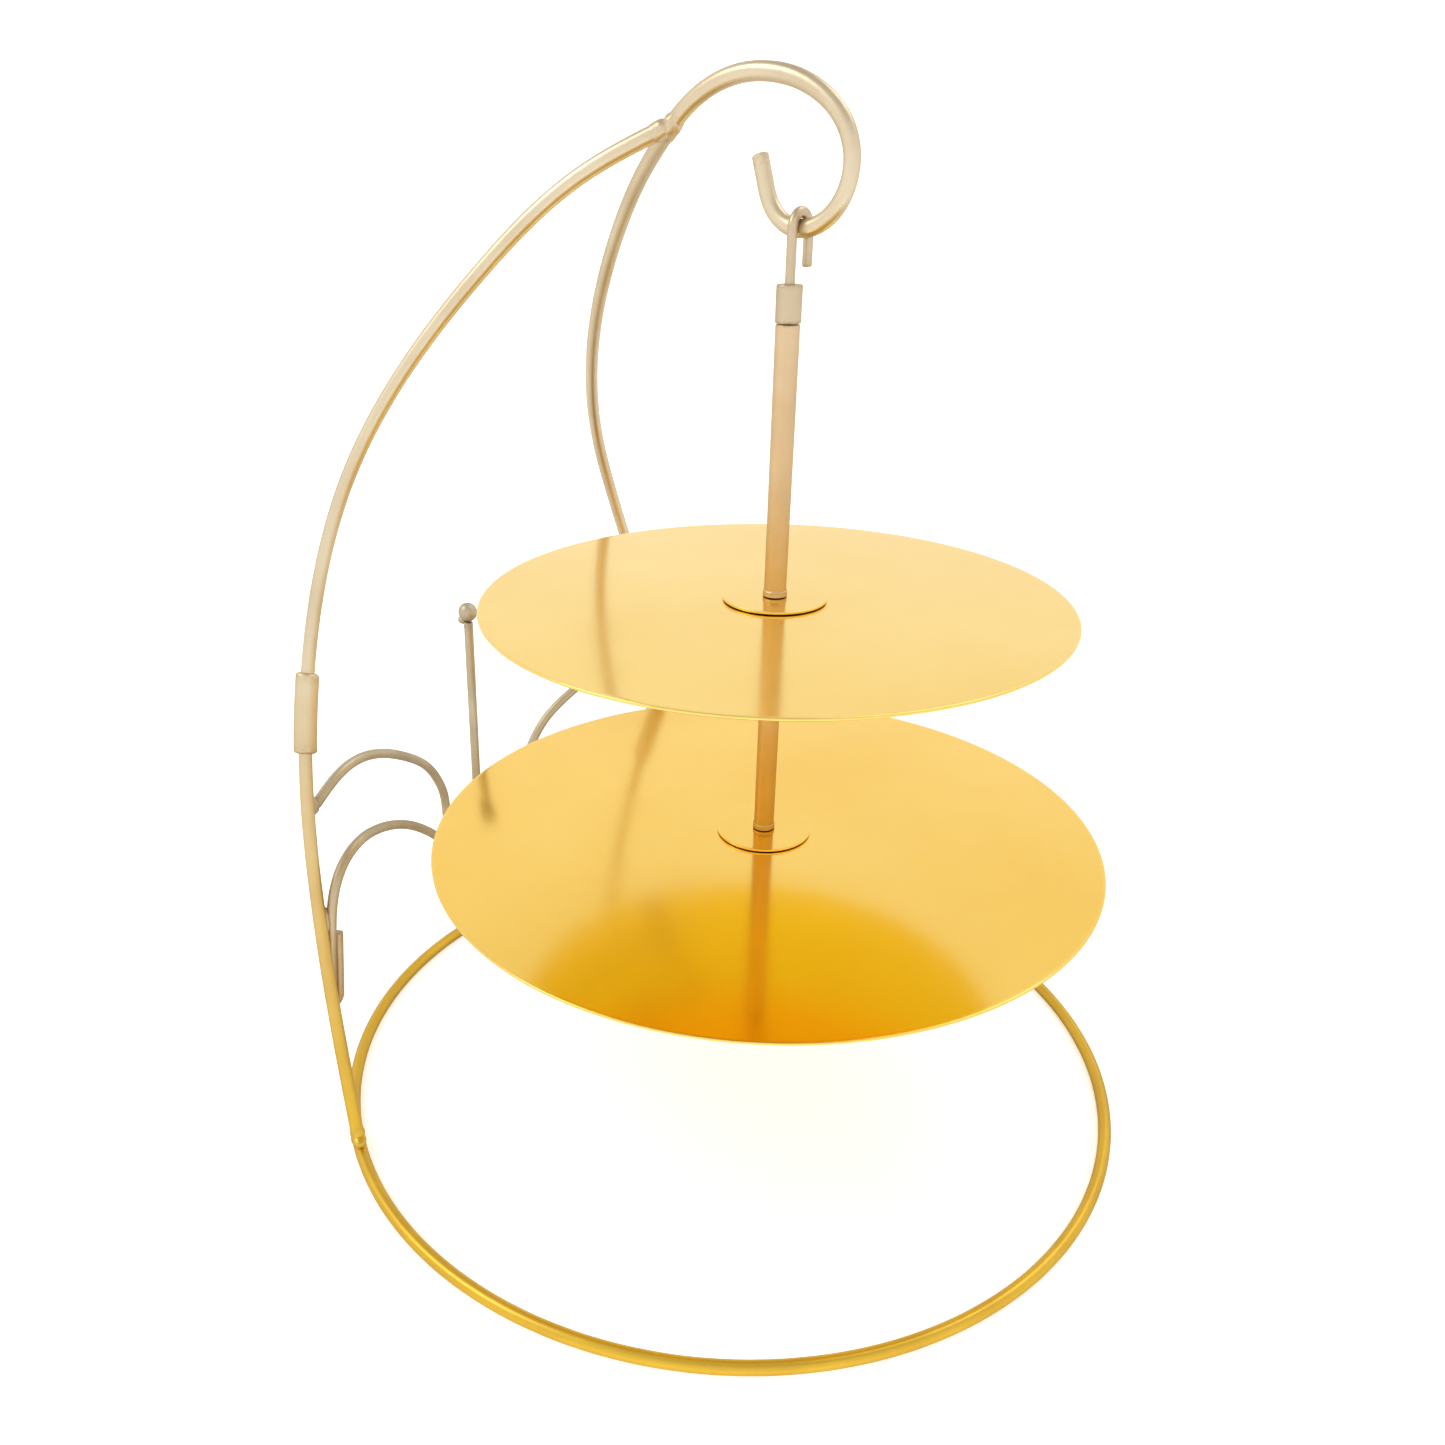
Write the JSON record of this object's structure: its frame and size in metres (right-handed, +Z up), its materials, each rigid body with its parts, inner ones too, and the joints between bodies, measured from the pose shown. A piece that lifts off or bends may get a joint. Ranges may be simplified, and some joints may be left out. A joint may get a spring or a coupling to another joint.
{
  "type": "tiered cake stand",
  "caption": "Hanging cake stand: round plates on a central post swing from the hook of an arched rod frame on a ring base.",
  "frame": {"origin": "middle of the base ring, on the table", "axes": "+Z up, +Y towards the back, where the centre rod and scrolls are; the frame is mirrored across x = 0"},
  "size_m": [0.3268, 0.3268, 0.3582],
  "materials": {
    "gloss_gold": "gloss gold paint on sheet steel",
    "satin_gold": "satin gold paint on steel rod",
    "aged_gold": "darker satin gold paint on thin steel rod"
  },
  "bodies": {
    "frame": {"base_ring": "satin_gold", "left_upright": "satin_gold", "right_upright": "satin_gold", "left_sleeve": "satin_gold", "right_sleeve": "satin_gold", "left_arm": "satin_gold", "right_arm": "satin_gold", "top_hook": "satin_gold", "centre_rod": "aged_gold", "ball_finial": "satin_gold", "left_arch_scroll": "aged_gold", "right_arch_scroll": "aged_gold", "left_curl_scroll": "aged_gold", "right_curl_scroll": "aged_gold"},
    "hanger": {"hanger_hook": "aged_gold", "hanger_nut": "satin_gold"},
    "tiers": {"collar": "satin_gold", "upper_post": "satin_gold", "upper_stud": "aged_gold", "upper_flange": "satin_gold", "upper_plate": "gloss_gold", "lower_post": "satin_gold", "lower_flange": "satin_gold", "lower_plate": "gloss_gold", "bottom_washer": "aged_gold", "bottom_screw": "aged_gold"}
  },
  "joints": [
    {"name": "tier_swing", "type": "hinge", "parent": "frame", "child": "hanger", "pos_m": [0, -0.0113, 0.3172], "axis": [0, 1, 0], "range_deg": [-12, 12]},
    {"name": "tier_turn", "type": "hinge", "parent": "hanger", "child": "tiers", "pos_m": [-0.00385, -0.0113, 0.29969], "axis": [-0.026, 0, 0.9997], "continuous": true}
  ]
}
